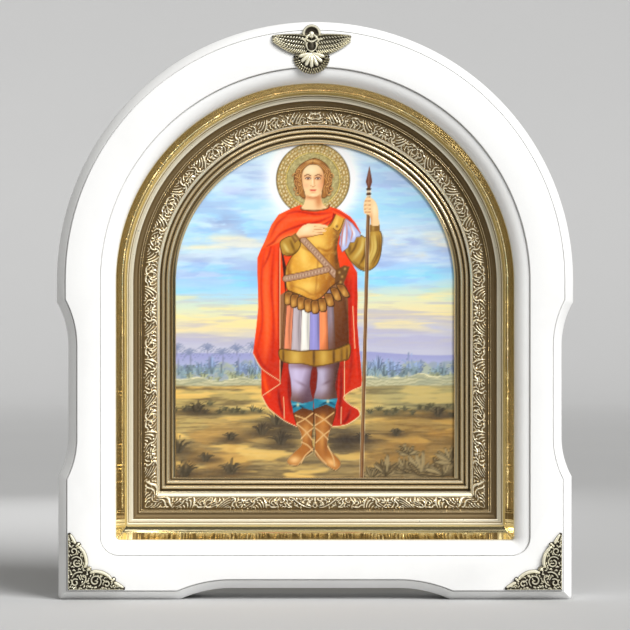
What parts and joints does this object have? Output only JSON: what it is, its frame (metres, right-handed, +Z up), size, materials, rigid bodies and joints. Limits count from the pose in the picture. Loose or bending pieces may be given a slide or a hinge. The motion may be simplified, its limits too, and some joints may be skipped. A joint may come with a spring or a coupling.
{
  "type": "framed icon panel",
  "caption": "White arched case frame on two feet, with a deep gilt liner of leaf ornament around an arched painted picture, and cast metal mounts: a dove at the crown and lower corner pieces.",
  "frame": {"origin": "on the surface the feet stand on, in the middle of the width and of the whole depth", "axes": "+X to the right seen from the front, +Y from the front into the case, +Z up"},
  "size_m": [0.363, 0.054, 0.4059],
  "materials": {
    "white_enamel": "smooth white enamel over wood, semi-gloss",
    "gilt_moulding": "metallised gold on a moulded liner, mirror bright on the plain members, with dark ground in the ornament",
    "picture": "printed picture under satin varnish on a thin board, bare brown board behind",
    "cast_mounts": "pale antique brass casting, bright on the high points and dark in the hollows"
  },
  "bodies": {
    "root": {"case_frame": "white_enamel", "gilt_liner": "gilt_moulding", "picture_board": "picture", "dove_mount": "cast_mounts", "corner_mount_left": "cast_mounts", "corner_mount_right": "cast_mounts"}
  },
  "joints": []
}
